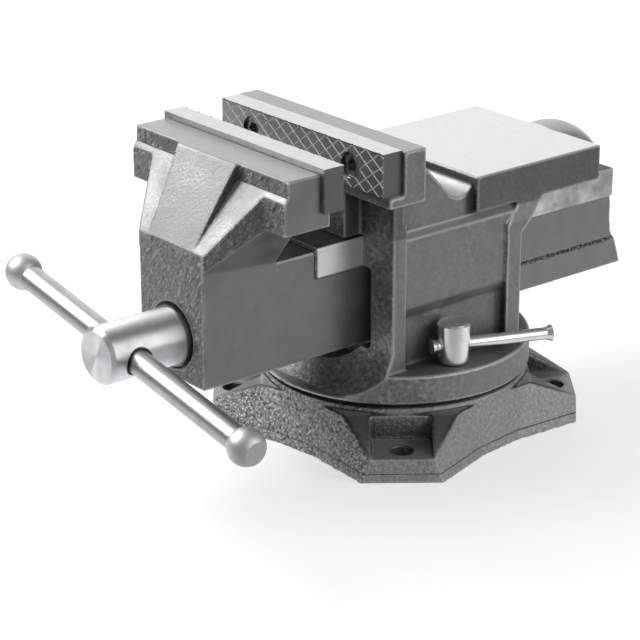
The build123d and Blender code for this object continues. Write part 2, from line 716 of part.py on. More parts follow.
# Handle bar with a turned ball pressed on each end; the balls' flats face outward
ball_radius = ball_dia / 2
ball_flat = math.sqrt(ball_radius ** 2 - (ball_flat_dia / 2) ** 2)
ball_inner = math.sqrt(ball_radius ** 2 - (handle_dia / 2) ** 2)
shoulder = handle_span / 2 - ball_inner
handle_middle = handle_plane.offset(handle_shift)
with BuildPart() as handle_bar:
    with BuildSketch(handle_middle):
        Circle(handle_dia / 2)
    extrude(amount=shoulder, both=True)
    with BuildSketch(handle_middle):
        Circle(ball_tenon_dia / 2)
    extrude(amount=handle_span / 2, both=True)
finish(handle_bar, "handle_bar")


def handle_ball(end):
    """A ball on the bar's end at +1 or -1, bored for the bar's tenon."""
    centre = handle_middle.origin + handle_axis * (end * handle_span / 2)
    inner = (-ball_inner, handle_dia / 2)
    outer = (ball_flat, ball_flat_dia / 2)
    with BuildSketch(Plane(origin=centre, x_dir=handle_axis * end, z_dir=(0, end, 0))) as half:
        with BuildLine():
            Polyline(outer, (ball_flat, 0), (-ball_inner, 0), inner)
            ThreePointArc(inner, (0, ball_radius), outer)
        make_face()
    revolve(half.sketch, axis=Axis(centre, handle_axis))
    with BuildSketch(Plane(origin=centre, x_dir=(0, 1, 0), z_dir=handle_axis * -end)) as bore:
        Circle(ball_tenon_dia / 2 + thread_fit)
    extrude(bore.sketch, amount=ball_radius, mode=Mode.SUBTRACT)


with BuildPart() as handle_ball_right:
    handle_ball(1)
finish(handle_ball_right, "handle_ball_right")

with BuildPart() as handle_ball_left:
    handle_ball(-1)
finish(handle_ball_left, "handle_ball_left")

# Swivel locks: a headed bolt through the turntable into the lock plate, and a bar through its head
lock_turn = math.radians(lock_bar_turn)
lock_bar_z = flange_top_z + lock_bar_height


def lock_bar_plane(side):
    """The plane across the bar at the bolt's axis, facing the bar's long end."""
    along = Vector(side * math.sin(lock_turn), math.cos(lock_turn), 0)
    return Plane(origin=(side * lock_reach, -lock_front, lock_bar_z), x_dir=(0, 0, 1), z_dir=along)


def lock_bolt(builder, side):
    """A lock bolt, with its head standing on the turntable."""
    x, y = side * lock_reach, -lock_front
    post(x, y, (flange_top_z, flange_top_z + lock_head_height), lock_head_dia / 2)
    chamfer(builder.faces().sort_by(Axis.Z)[-1].edges(), lock_head_edge / 2)
    fillet(builder.faces().sort_by(Axis.Z)[0].edges(), lock_head_edge)
    post(x, y, (plate_low_z, flange_top_z + lock_head_edge), lock_shank_dia / 2)
    with BuildSketch(lock_bar_plane(side)) as hole:
        Circle(lock_bar_dia / 2 + running_fit)
    extrude(hole.sketch, amount=lock_head_dia, both=True, mode=Mode.SUBTRACT)


def lock_bar(side):
    """A lock bar with upset ends, slid to its long side."""
    plane = lock_bar_plane(side)
    knob_start = lock_bar_short_end - lock_knob_length
    long_end = lock_bar_length - lock_bar_short_end
    with BuildSketch(plane.offset(-knob_start)) as section:
        Circle(lock_bar_dia / 2)
    extrude(section.sketch, amount=knob_start + long_end - lock_knob_length)
    for start, way in ((-knob_start, -1), (long_end - lock_knob_length, 1)):
        with BuildSketch(plane.offset(start)) as neck:
            Circle(lock_bar_dia / 2)
        with BuildSketch(plane.offset(start + way * lock_knob_length)) as end:
            Circle(lock_knob_dia / 2)
        loft([neck.sketch, end.sketch])


with BuildPart() as lock_bolt_right:
    lock_bolt(lock_bolt_right, 1)
finish(lock_bolt_right, "lock_bolt_right")

with BuildPart() as lock_bar_right:
    lock_bar(1)
finish(lock_bar_right, "lock_bar_right")

with BuildPart() as lock_bolt_left:
    lock_bolt(lock_bolt_left, -1)
finish(lock_bolt_left, "lock_bolt_left")

with BuildPart() as lock_bar_left:
    lock_bar(-1)
finish(lock_bar_left, "lock_bar_left")
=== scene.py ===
"""Looks of a bench vise on a turning base: painted castings, knurled jaw plates, polished screw and handle.

Lengths are in metres in the CAD frame: X along the jaws, the handle towards -Y, the anvil towards +Y, Z up.
"""

import math

import bmesh
import bpy
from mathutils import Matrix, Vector


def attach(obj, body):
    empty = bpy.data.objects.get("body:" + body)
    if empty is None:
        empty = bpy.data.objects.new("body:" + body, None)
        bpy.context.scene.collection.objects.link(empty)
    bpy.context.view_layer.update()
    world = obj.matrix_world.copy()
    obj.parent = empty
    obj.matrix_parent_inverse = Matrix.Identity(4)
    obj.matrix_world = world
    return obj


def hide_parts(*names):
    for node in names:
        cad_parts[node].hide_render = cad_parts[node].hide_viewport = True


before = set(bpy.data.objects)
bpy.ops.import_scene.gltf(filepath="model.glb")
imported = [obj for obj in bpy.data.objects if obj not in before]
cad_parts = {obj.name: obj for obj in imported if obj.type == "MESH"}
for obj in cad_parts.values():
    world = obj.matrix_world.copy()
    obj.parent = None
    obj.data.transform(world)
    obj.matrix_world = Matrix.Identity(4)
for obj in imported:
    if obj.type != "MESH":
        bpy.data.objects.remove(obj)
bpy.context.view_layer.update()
MM = 0.001
AXES = {"x": 0, "y": 1, "z": 2}

# Places on the CAD pieces that the materials follow, in millimetres
ANVIL_HALF = 37.6
ANVIL_FRONT = 10.5
ANVIL_REAR = 79.6
ANVIL_BOTTOM = 94.1
ANVIL_TOP = 109.2
LOWER_JAW_TOP = 131.3
SLIDER_HALF = 21.5
SLIDER_TOP = 90.4
WEB_HALF = 20.4
FOOT_TOP = 58.6
GUIDE_FRONT = -58.8
GUIDE_LOW = 77.8
GUIDE_WORN = (40.0, 60.0)
FLASH_SPAN = (-8.0, 108.0)
PARTING_SPAN = (3.9, 4.2)
FLANGE_BOTTOM = 24.0
FLANGE_RADIUS = 56.2
SCREW_HEIGHT = 61.6
HANDLE_PLACE = -137.0
HANDLE_RADIUS = 5.0
HANDLE_TILT = math.radians(10.5)


# Short calls that build nodes

class Nodes:
    """Adds nodes to a tree."""

    def __init__(self, tree):
        self.tree = tree

    def add(self, kind, **settings):
        """A new node with its settings."""
        node = self.tree.nodes.new(kind)
        for key, value in settings.items():
            setattr(node, key, value)
        return node

    def feed(self, socket, value):
        """Sets a socket to a constant, or links another socket to it."""
        if isinstance(value, bpy.types.NodeSocket):
            self.tree.links.new(value, socket)
        else:
            socket.default_value = value

    def math(self, operation, first, second=0.0):
        """One step of arithmetic."""
        node = self.add("ShaderNodeMath", operation=operation)
        self.feed(node.inputs[0], first)
        self.feed(node.inputs[1], second)
        return node.outputs[0]

    def vector(self, operation, first, second=(0, 0, 0)):
        """A number worked out from two vectors, such as their dot product."""
        node = self.add("ShaderNodeVectorMath", operation=operation)
        self.feed(node.inputs[0], first)
        self.feed(node.inputs[1], second)
        return node.outputs["Value"]

    def times(self, *values):
        """The product of masks or numbers."""
        product = values[0]
        for value in values[1:]:
            product = self.math("MULTIPLY", product, value)
        return product

    def hypot(self, first, second):
        """The length whose two square shares are given."""
        squares = self.math("ADD", self.times(first, first), self.times(second, second))
        return self.math("SQRT", squares)

    def between(self, value, low, high):
        """0 below low, 1 above high, and a smooth rise between; falls if high is below low."""
        node = self.add("ShaderNodeMapRange", interpolation_type="SMOOTHSTEP")
        falls = high < low
        self.feed(node.inputs["Value"], value)
        self.feed(node.inputs["From Min"], min(low, high))
        self.feed(node.inputs["From Max"], max(low, high))
        self.feed(node.inputs["To Min"], 1.0 if falls else 0.0)
        self.feed(node.inputs["To Max"], 0.0 if falls else 1.0)
        return node.outputs["Result"]

    def mix(self, share, first, second):
        """A number between two others."""
        node = self.add("ShaderNodeMix", data_type="FLOAT")
        self.feed(node.inputs[0], share)
        self.feed(node.inputs[2], first)
        self.feed(node.inputs[3], second)
        return node.outputs[0]

    def blend(self, share, first, second):
        """A colour between two others."""
        node = self.add("ShaderNodeMix", data_type="RGBA")
        self.feed(node.inputs[0], share)
        self.feed(node.inputs[6], first)
        self.feed(node.inputs[7], second)
        return node.outputs[2]


class Looks(Nodes):
    """A material with a Principled shader, patterned in its piece's own coordinates."""

    def __init__(self, name):
        self.material = bpy.data.materials.new(name)
        self.material.use_nodes = True
        super().__init__(self.material.node_tree)
        self.shader = self.tree.nodes["Principled BSDF"]
        own = self.add("ShaderNodeTexCoord").outputs
        self.place = own["Object"]
        self.facing = own["Normal"]
        self.edge = self.add("ShaderNodeNewGeometry").outputs["Pointiness"]

    def along(self, axis, vector=None):
        """One coordinate of the place, or of another vector."""
        node = self.add("ShaderNodeSeparateXYZ")
        self.feed(node.inputs[0], vector or self.place)
        return node.outputs[AXES[axis]]

    def past(self, axis, low, high):
        """0 below one millimetre mark on an axis and 1 above another, or the other way round."""
        return self.between(self.along(axis), low * MM, high * MM)

    def band(self, axis, low, high, soft=0.25):
        """1 between two millimetre marks on an axis, softened at both."""
        rise = self.past(axis, low - soft, low + soft)
        fall = self.past(axis, high + soft, high - soft)
        return self.times(rise, fall)

    def aside(self, low, high):
        """1 further from the middle plane than between two millimetre marks, on both sides of it."""
        return self.between(self.math("ABSOLUTE", self.along("x")), low * MM, high * MM)

    def looks_up(self, low, high):
        """1 where a face looks up more steeply than between two shares of straight up."""
        return self.between(self.along("z", self.facing), low, high)

    def scaled(self, size, stretch=(1, 1, 1), lean=0.0):
        """The place in steps of a size, drawn out along an axis by a stretch above 1 and leaned about Y."""
        node = self.add("ShaderNodeMapping", vector_type="TEXTURE")
        self.feed(node.inputs["Vector"], self.place)
        self.feed(node.inputs["Rotation"], (0, math.radians(lean), 0))
        self.feed(node.inputs["Scale"], tuple(size * share for share in stretch))
        return node.outputs[0]

    def noise(self, size, detail=2.0, rough=0.5, stretch=(1, 1, 1), twist=0.0, lean=0.0):
        """Noise with blotches of about that size."""
        node = self.add("ShaderNodeTexNoise")
        self.feed(node.inputs["Vector"], self.scaled(size, stretch, lean))
        self.feed(node.inputs["Scale"], 1.0)
        self.feed(node.inputs["Detail"], detail)
        self.feed(node.inputs["Roughness"], rough)
        self.feed(node.inputs["Distortion"], twist)
        return node.outputs[0]

    def pebbles(self, size):
        """Rounded grains of a size, 1 at their tops."""
        node = self.add("ShaderNodeTexVoronoi", feature="SMOOTH_F1")
        self.feed(node.inputs["Vector"], self.scaled(size))
        self.feed(node.inputs["Scale"], 1.0)
        self.feed(node.inputs["Smoothness"], 0.7)
        return self.math("SUBTRACT", 1.0, node.outputs["Distance"])

    def corners(self, reach):
        """1 in the open, and less in the piece's own hollows and inner corners within a reach."""
        node = self.add("ShaderNodeAmbientOcclusion", samples=6, only_local=True)
        self.feed(node.inputs["Distance"], reach)
        return node.outputs["AO"]

    def bump(self, height, depth):
        """A normal that follows a height between 0 and 1."""
        node = self.add("ShaderNodeBump")
        self.feed(node.inputs["Height"], height)
        self.feed(node.inputs["Distance"], depth)
        return node.outputs[0]

    def finish(self, colour, roughness, normal, metallic=0.0, **others):
        """Sets the shader's sockets, and gives the material."""
        values = {"Base Color": colour, "Roughness": roughness, "Normal": normal, "Metallic": metallic}
        for key, value in {**values, **others}.items():
            self.feed(self.shader.inputs[key], value)
        return self.material


def grey(level):
    """A neutral colour, a trace towards blue."""
    return (level, level, level * 1.01, 1.0)


# Places on the castings, each a mask

# Shares of straight up between which a face counts as flat
FLAT = (0.93, 0.98)


def broken(looks, mask, share):
    """A mask broken up into dots and dashes."""
    return looks.times(mask, looks.between(looks.noise(0.8 * MM, 3.0, 0.7), share - 0.05, share + 0.05))


def anvil_top(looks):
    """The flat top of the anvil."""
    return looks.times(looks.looks_up(*FLAT), looks.band("z", ANVIL_TOP - 1, ANVIL_TOP + 2.8))


def jaw_top(looks):
    """The flat top of the fixed jaw, or of the moving jaw's bar."""
    return looks.times(looks.looks_up(*FLAT), looks.past("z", LOWER_JAW_TOP - 1.3, LOWER_JAW_TOP - 0.5))


def horn(looks):
    """The round horn behind the anvil."""
    behind = looks.past("y", ANVIL_REAR + 0.2, ANVIL_REAR + 1)
    return looks.times(behind, looks.past("z", ANVIL_BOTTOM - 1.1, ANVIL_BOTTOM + 0.9))


def anvil_side_shade(looks):
    """Painted shade on the anvil's two sides, in blotches."""
    out = looks.aside(ANVIL_HALF - 0.6, ANVIL_HALF - 0.2)
    blotches = looks.mix(looks.noise(4 * MM, 3.0, 0.6), 0.25, 0.75)
    return looks.times(out, looks.band("z", ANVIL_BOTTOM - 1.1, ANVIL_TOP - 0.8), blotches)


def anvil_front_shade(looks):
    """Painted shade on the anvil's front wall, above the valley behind the fixed jaw."""
    nearer = looks.past("y", ANVIL_FRONT - 5.5, ANVIL_FRONT - 2)
    wall = looks.past("y", ANVIL_FRONT + 0.5, ANVIL_FRONT - 0.1)
    return looks.times(nearer, wall, looks.band("z", ANVIL_BOTTOM - 0.6, ANVIL_TOP - 0.8))


def flange_gap_shade(looks):
    """Painted shade in the gap under the flange's rim."""
    return looks.band("z", FLANGE_BOTTOM - 4, FLANGE_BOTTOM + 1.2, 0.3)


def guide_bands(looks):
    """The two milled bands along the slider's sides, which run in the body."""
    out = looks.aside(SLIDER_HALF - 0.8, SLIDER_HALF - 0.3)
    behind = looks.past("y", GUIDE_FRONT - 0.1, GUIDE_FRONT + 0.4)
    return looks.times(out, behind, looks.band("z", GUIDE_LOW, SLIDER_TOP))


def worn_band(looks):
    """The stretch of a guide band that runs out behind the body, dulled in blotches."""
    blotches = looks.between(looks.noise(9 * MM, 3.0, 0.5), 0.1, 0.75)
    return looks.times(guide_bands(looks), looks.past("y", *GUIDE_WORN), blotches)


def web_flash(looks):
    """Rough flash where the slider's web meets its foot."""
    out = looks.aside(WEB_HALF - 0.9, WEB_HALF - 0.4)
    seam = looks.band("z", FOOT_TOP - 0.3, FOOT_TOP + 0.9, 0.3)
    return broken(looks, looks.times(out, seam, looks.band("y", *FLASH_SPAN)), 0.52)


def slider_top_shade(looks):
    """Painted shade on the slider's top."""
    return looks.times(looks.looks_up(0.8, 0.95), looks.band("z", SLIDER_TOP - 3.4, SLIDER_TOP + 1.1))


def turntable_shade(looks):
    """Painted shade on the up-facing ground of the base beside the turning flange."""
    from_axis = looks.hypot(looks.along("x"), looks.along("y"))
    near = looks.between(from_axis, (FLANGE_RADIUS + 27.8) * MM, (FLANGE_RADIUS + 5.8) * MM)
    return looks.times(near, looks.looks_up(0.3, 0.7))


def lobe_parting(looks):
    """The mould's parting line low on the base's lobes."""
    return broken(looks, looks.times(looks.band("z", *PARTING_SPAN, 0.12), 0.7), 0.45)


def handle_hole_shade(looks):
    """Painted shade round the handle's hole through the screw's head."""
    over = looks.math("SUBTRACT", looks.along("z"), SCREW_HEIGHT * MM)
    beside = looks.times(looks.along("x"), math.sin(HANDLE_TILT))
    across = looks.math("ADD", beside, looks.times(over, math.cos(HANDLE_TILT)))
    back = looks.math("SUBTRACT", looks.along("y"), HANDLE_PLACE * MM)
    return looks.between(looks.hypot(across, back), (HANDLE_RADIUS + 1.3) * MM, (HANDLE_RADIUS + 0.7) * MM)


# Paint and metal

# How metallic the paint is, how dark its painted shade gets, and the brush stretches along the axes
FLAKES = 0.55
SHADE_DEPTH = 0.85
ALONG_X = (30, 1, 1)
ALONG_Y = (1, 30, 1)


def smooth_skin(looks):
    """The faint orange peel of a painted casting."""
    return looks.noise(2.2 * MM, 2.0, 0.55)


def torn_skin(looks):
    """Slanting tears where the mould's sand dragged."""
    return looks.noise(1.5 * MM, 3.0, 0.65, stretch=(0.9, 1, 2.2), twist=1.0, lean=32)


def pebbled_skin(looks):
    """The coarse grains of a rough casting."""
    return looks.mix(0.5, looks.pebbles(1.15 * MM), looks.noise(1.6 * MM, 2.0, 0.6))


def bare_steel(looks, shade, brush):
    """The colour of ground steel, and its tool marks."""
    marks = looks.noise(0.3 * MM, 2.0, 0.6, brush)
    nicks = looks.between(looks.noise(1.3 * MM, 3.0, 0.75, brush), 0.66, 0.72)
    steel = looks.blend(looks.between(marks, 0.25, 0.75), grey(shade * 0.9), grey(shade * 1.06))
    return looks.blend(looks.times(nicks, 0.55), steel, grey(shade * 0.3)), marks


def pitted_paint(looks, light, dark, blotches):
    """Painted light on faces that look up: pale paint with dark pits in its blotches."""
    pits = looks.between(looks.noise(0.5 * MM, 3.0, 0.75), 0.6, 0.68)
    pits = looks.times(pits, looks.between(blotches, 0.35, 0.6), 0.7)
    return looks.blend(pits, grey(light), grey(dark))


def cast_paint(name, level, skin, depth, edge_and_grain_light, pale, ground=(), lines=(), shaded_places=()):
    """Metallic grey paint over a sand casting, rough on its front, with bare ground places.

    skin gives the relief. depth is how deep it is on the sides and on the front, and the shares of forward
    between which a face counts as the front. The pair after it is how far the edges are lightened, as rubbed
    paint and as a painted highlight, and how strongly the relief shows in the colour, as a painted highlight
    on the grain tops and painted shade in the pits. pale is the painted light on faces that look up: their
    level, the shares of up between which they turn pale, and the height in millimetres above which they do.
    ground lists bare places, each a level, how metallic it is, a brush stretch and a mask. lines lists masks
    of dark marks, and the last list holds masks of places that take painted shade.
    """
    looks = Looks(name)
    shallow, deep, turned_from, turned_to = depth
    edge_lightening, grain_light = edge_and_grain_light
    light, pale_from, pale_to, pale_height = pale
    blotches = looks.noise(13 * MM, 3.0, 0.55)
    patchy = looks.between(blotches, 0.3, 0.7)
    grains = skin(looks)
    fine = looks.noise(0.6 * MM, 2.0, 0.5)
    front = looks.between(looks.along("y", looks.facing), -turned_from, -turned_to)
    # Painted light: faces that look up, above a height, turn pale
    up = looks.times(looks.looks_up(pale_from, pale_to), looks.past("z", pale_height, pale_height + 2))

    colour = looks.blend(patchy, grey(level * 0.9), grey(level * 1.1))
    # Painted highlight on the tops of the grains and painted shade in their pits, more on the front
    grain_shading = looks.mix(front, grain_light * shallow / deep, grain_light)
    colour = looks.blend(looks.times(grain_shading, looks.between(grains, 0.52, 0.68)), colour, grey(level * 2.2))
    colour = looks.blend(looks.times(grain_shading, looks.between(grains, 0.48, 0.32)), colour, grey(level * 0.25))
    # Edges lightened, partly as rubbed paint and partly as a painted highlight
    lit_rubbed_edges = looks.times(looks.between(looks.edge, 0.504, 0.53), looks.between(fine, 0.25, 0.5), edge_lightening)
    colour = looks.blend(lit_rubbed_edges, colour, grey(level * 2.6))
    # Painted shade: darker in the piece's own hollows and inner corners, except on faces that look up, and in
    # the shaded places passed in
    hollow = looks.between(looks.corners(25 * MM), 0.9, 0.3)
    painted_shade = looks.times(hollow, looks.mix(up, SHADE_DEPTH, 0.0))
    for place in shaded_places:
        painted_shade = looks.math("MAXIMUM", painted_shade, looks.times(place(looks), SHADE_DEPTH))
    colour = looks.blend(painted_shade, colour, grey(level * 0.08))
    # Painted light on the faces that look up
    colour = looks.blend(up, colour, pitted_paint(looks, light, level * 0.8, blotches))

    rough = looks.mix(patchy, 0.4, 0.58)
    metallic = FLAKES
    relief = looks.math("ADD", looks.times(grains, 0.8), looks.times(fine, 0.2))
    relief = looks.times(relief, looks.mix(front, shallow / deep, 1.0), looks.mix(up, 1.0, 0.12))
    for line in lines:
        mark = line(looks)
        colour = looks.blend(mark, colour, grey(level * 0.12))
        relief = looks.math("SUBTRACT", relief, looks.times(mark, 0.5))
    for shade, metal, brush, place in ground:
        steel, marks = bare_steel(looks, shade, brush)
        mask = place(looks)
        colour = looks.blend(mask, colour, steel)
        rough = looks.mix(mask, rough, 0.34)
        relief = looks.mix(mask, relief, looks.times(marks, 0.02))
        metallic = looks.mix(mask, metallic, metal)
    return looks.finish(colour, rough, looks.bump(relief, deep), metallic)


def machined(name, level, rough, brush):
    """Ground or milled steel with fine tool marks drawn out along one axis."""
    looks = Looks(name)
    marks = looks.noise(0.35 * MM, 2.0, 0.6, brush)
    patches = looks.noise(9 * MM, 2.0, 0.5)
    nicks = looks.between(looks.noise(1.1 * MM, 3.0, 0.7, brush), 0.68, 0.74)
    colour = looks.blend(looks.between(marks, 0.25, 0.75), grey(level * 0.88), grey(level * 1.08))
    colour = looks.blend(looks.times(nicks, 0.5), colour, grey(level * 0.3))
    roughness = looks.math("ADD", looks.times(patches, 0.16), rough - 0.08)
    return looks.finish(colour, roughness, looks.bump(marks, 0.02 * MM), 1.0)


def polished(name, level, rough, along, turned_about="", shaded_places=None):
    """Turned and polished steel with fine rings or lines.

    Steel turned about an axis has its rings round that axis, and they spread a highlight along it. The mask
    given last marks a place that takes painted shade.
    """
    looks = Looks(name)
    lines = looks.noise(0.3 * MM, 2.0, 0.6, along)
    patches = looks.noise(6 * MM, 3.0, 0.6)
    colour = looks.blend(looks.between(patches, 0.3, 0.75), grey(level), grey(level * 0.86))
    # Painted shade at the given place
    if shaded_places:
        colour = looks.blend(shaded_places(looks), colour, grey(level * 0.04))
    roughness = looks.math("ADD", looks.times(patches, 0.14), rough - 0.07)
    others = {}
    if turned_about:
        rings = looks.add("ShaderNodeTangent", direction_type="RADIAL", axis=turned_about)
        others = {"Tangent": rings.outputs[0], "Anisotropic": 0.85, "Anisotropic Rotation": 0.25}
    return looks.finish(colour, roughness, looks.bump(lines, 0.006 * MM), 1.0, **others)


def black_oxide(name):
    """Hard steel of the socket screws, its black worn off in patches."""
    looks = Looks(name)
    patches = looks.noise(1.5 * MM, 3.0, 0.6)
    colour = looks.blend(looks.between(patches, 0.35, 0.6), grey(0.1), grey(0.4))
    roughness = looks.math("ADD", looks.times(patches, 0.2), 0.2)
    return looks.finish(colour, roughness, looks.bump(patches, 0.02 * MM), 0.9)


def glint_groove(name, level):
    """Freshly cut steel of the knurl's grooves, painted pale as a painted highlight that glints from every
    side.
    """
    looks = Looks(name)
    patches = looks.noise(0.8 * MM, 3.0, 0.6)
    colour = looks.blend(looks.between(patches, 0.35, 0.7), grey(level), grey(level * 0.6))
    return looks.finish(colour, 0.5, looks.bump(patches, 0.02 * MM), 0.2)


body_paint = cast_paint(
    "body_paint", level=0.25, skin=smooth_skin, depth=(0.15 * MM, 0.6 * MM, 0.15, 0.6), edge_and_grain_light=(0.85, 0.5),
    pale=(0.48, 0.3, 0.6, 60),
    ground=[(0.74, 0.6, ALONG_X, anvil_top), (0.34, 0.75, ALONG_X, jaw_top), (0.4, 0.4, ALONG_Y, horn)],
    shaded_places=[flange_gap_shade, anvil_side_shade, anvil_front_shade])
jaw_paint = cast_paint(
    "jaw_paint", level=0.26, skin=torn_skin, depth=(0.15 * MM, 2.2 * MM, 0.15, 0.6), edge_and_grain_light=(0.85, 0.75),
    pale=(0.4, 0.3, 0.45, 92),
    ground=[(0.4, 0.75, ALONG_X, jaw_top), (1.0, 0.5, ALONG_Y, guide_bands), (0.36, 0.5, ALONG_Y, worn_band)],
    lines=[web_flash], shaded_places=[slider_top_shade])
base_paint = cast_paint(
    "base_paint", level=0.32, skin=pebbled_skin, depth=(0.5 * MM, 1.8 * MM, 0.55, 0.9), edge_and_grain_light=(0.25, 0.85),
    pale=(0.36, 0.85, 0.97, 0), lines=[lobe_parting], shaded_places=[turntable_shade])
steel_top = machined("plate_edge_steel", 0.6, 0.3, ALONG_X)
slide_steel = machined("slide_steel", 0.5, 0.34, ALONG_Y)
plate_steel = machined("plate_steel", 0.36, 0.42, (1, 1, 12))
# Painted shade: a darker copy of the plate steel for the plates' ends
plate_end_shaded = machined("plate_end_shaded_steel", 0.17, 0.45, (1, 1, 8))
groove_glint_steel = glint_groove("groove_glint_steel", 0.8)
screw_steel = polished("screw_steel", 0.78, 0.4, (1, 0.5, 1), "Y", handle_hole_shade)
bright_steel = polished("bright_steel", 0.84, 0.22, (1, 1, 0.5))
satin_steel = polished("satin_steel", 0.66, 0.48, (1, 1, 1))
handle_steel = polished("handle_steel", 0.5, 0.36, (12, 1, 1))
# Painted shade: the thrust washer is coloured dark for the shaded ring round the screw's root
shaded_washer_steel = machined("shaded_washer_steel", 0.2, 0.4, (1, 8, 1))
screw_black = black_oxide("screw_black")
nut_metal = machined("nut_bronze", 0.5, 0.4, (1, 8, 1))


# Pieces that stand for CAD nodes

WELD = 0.001 * MM


def new_piece(name, data, materials, body, node):
    """An object of a mesh, which rides on a body and stands for a CAD node."""
    for material in materials:
        data.materials.append(material)
    piece = bpy.data.objects.new(name, data)
    bpy.context.scene.collection.objects.link(piece)
    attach(piece, body)
    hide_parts(node)
    return piece


def casting(node, name, body, paint, grain, rounds, share):
    """A CAD solid made over from even small faces, its edges and corners rounded as a mould leaves them.

    grain is the size of the even faces, rounds how often they are smoothed, and share how many are kept.
    """
    source = bpy.data.objects.new("rough_" + name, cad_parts[node].data.copy())
    bpy.context.scene.collection.objects.link(source)
    remesh = source.modifiers.new("even", "REMESH")
    remesh.mode = "VOXEL"
    remesh.voxel_size = grain
    remesh.use_smooth_shade = True
    smooth = source.modifiers.new("rounded", "SMOOTH")
    smooth.factor = 0.5
    smooth.iterations = rounds
    fewer = source.modifiers.new("fewer", "DECIMATE")
    fewer.ratio = share
    shaped = source.evaluated_get(bpy.context.evaluated_depsgraph_get())
    data = bpy.data.meshes.new_from_object(shaped)
    data.name = name
    data.materials.clear()
    bpy.data.objects.remove(source)
    return new_piece(name, data, [paint], body, node)


casting("vise_body", "body_casting", "body", body_paint, grain=0.55 * MM, rounds=8, share=0.2)
casting("moving_jaw", "jaw_casting", "jaw", jaw_paint, grain=0.5 * MM, rounds=9, share=0.17)
casting("swivel_base", "base_casting", "base", base_paint, grain=0.5 * MM, rounds=14, share=0.3)


def data_of(mesh, name):
    """Mesh data of an edited mesh."""
    data = bpy.data.meshes.new(name)
    mesh.to_mesh(data)
    mesh.free()
    return data


# Jaw plates with two crossing sets of grooves

KNURL_ANGLE = math.radians(36)
KNURL_STEP = 8 * MM * math.sin(KNURL_ANGLE)
KNURL_WAYS = [Vector((-lean * math.sin(KNURL_ANGLE), 0, math.cos(KNURL_ANGLE))) for lean in (-1, 1)]
KNURL_REACH = 8
GROOVE_HALF = 0.3 * MM
GROOVE_DEPTH = 0.4 * MM


def solid_of(node):
    """A mesh of a CAD node with one vertex to a corner and whole flat faces."""
    mesh = bmesh.new()
    mesh.from_mesh(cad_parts[node].data)
    bmesh.ops.remove_doubles(mesh, verts=mesh.verts, dist=WELD)
    bmesh.ops.dissolve_limit(mesh, angle_limit=math.radians(0.3), verts=mesh.verts, edges=mesh.edges)
    return mesh


def knurled_plate(node, name, body, way):
    """A jaw plate with grooves in its gripping face, which looks along way in Y."""
    mesh = solid_of(node)
    face_y = max(way * v.co.y for v in mesh.verts)
    heights = [v.co.z for v in mesh.verts]
    middle = Vector((0, way * face_y, (min(heights) + max(heights)) / 2))

    def grip():
        """The faces that make up the gripping face."""
        least_y = face_y - 0.01 * MM
        return [f for f in mesh.faces
                if f.normal.y * way > 0.99 and all(v.co.y * way > least_y for v in f.verts)]

    for across in KNURL_WAYS:
        for count in range(-KNURL_REACH, KNURL_REACH + 1):
            cut = grip()
            parts = cut + list({e for f in cut for e in f.edges}) + list({v for f in cut for v in f.verts})
            spot = middle + across * (count + 0.5) * KNURL_STEP
            bmesh.ops.bisect_plane(mesh, geom=parts, dist=2 * WELD, plane_co=spot, plane_no=across)
    cells = {}
    for face in grip():
        from_middle = face.calc_center_median() - middle
        cell = tuple(math.floor(from_middle.dot(across) / KNURL_STEP - 0.5) for across in KNURL_WAYS)
        cells.setdefault(cell, []).append(face)
    for faces in cells.values():
        bmesh.ops.dissolve_faces(mesh, faces=faces)
    pads = grip()
    kept = set(pads)
    sides = [f for f in mesh.faces if f not in kept]
    bmesh.ops.inset_individual(mesh, faces=pads, thickness=GROOVE_HALF, use_even_offset=True)
    border = {e for f in sides for e in f.edges}
    pad_points = {v for f in pads for v in f.verts}
    deep = set()
    # Groove walls take the pale steel of a painted highlight
    for face in grip():
        outer = [e for e in face.edges if not pad_points.intersection(e.verts)]
        if face not in kept and outer and outer[0] not in border:
            face.material_index = 1
            deep.update(outer[0].verts)
    for point in deep:
        point.co.y -= way * GROOVE_DEPTH
    # Tops take the top steel, and the ends the darker steel of painted shade
    for face in mesh.faces:
        if face.normal.z > 0.9:
            face.material_index = 2
        elif abs(face.normal.x) > 0.9:
            face.material_index = 3
    materials = [plate_steel, groove_glint_steel, steel_top, plate_end_shaded]
    return new_piece(name, data_of(mesh, name), materials, body, node)


knurled_plate("fixed_jaw_plate", "fixed_plate_knurled", "body", -1)
knurled_plate("moving_jaw_plate", "moving_plate_knurled", "jaw", 1)


# Main screw: the CAD solid as far as its journal, then a thread with flat crests

SCREW_Z = SCREW_HEIGHT * MM
THREAD_FROM = -75.9 * MM
THREAD_TO = 90.2 * MM
PITCH = 5 * MM
ROOT = 7.2 * MM
CREST = 9.0 * MM
THREAD_FORM = [(0.0, ROOT), (0.12, CREST), (0.5, CREST), (0.62, ROOT)]
THREAD_STEPS = 32


def turned(data):
    """Gives faces turned about the screw's axis the normals of the turned surface."""
    normals = []
    for face in data.polygons:
        slope = Vector((face.normal.x, 0, face.normal.z))
        for index in face.vertices:
            out = data.vertices[index].co - Vector((0, 0, SCREW_Z))
            out.y = 0
            out.normalize()
            normal = face.normal.copy()
            if slope.length > 0.1 and slope.normalized().dot(out) > 0.9:
                normal = out * slope.length + Vector((0, face.normal.y, 0))
            normals.append(normal[:])
    data.normals_split_custom_set(normals)


def round_screw(radius, step, y):
    """A point at a radius from the screw's axis, so many steps round it."""
    angle = 2 * math.pi * step / THREAD_STEPS
    return (radius * math.cos(angle), y, SCREW_Z + radius * math.sin(angle))


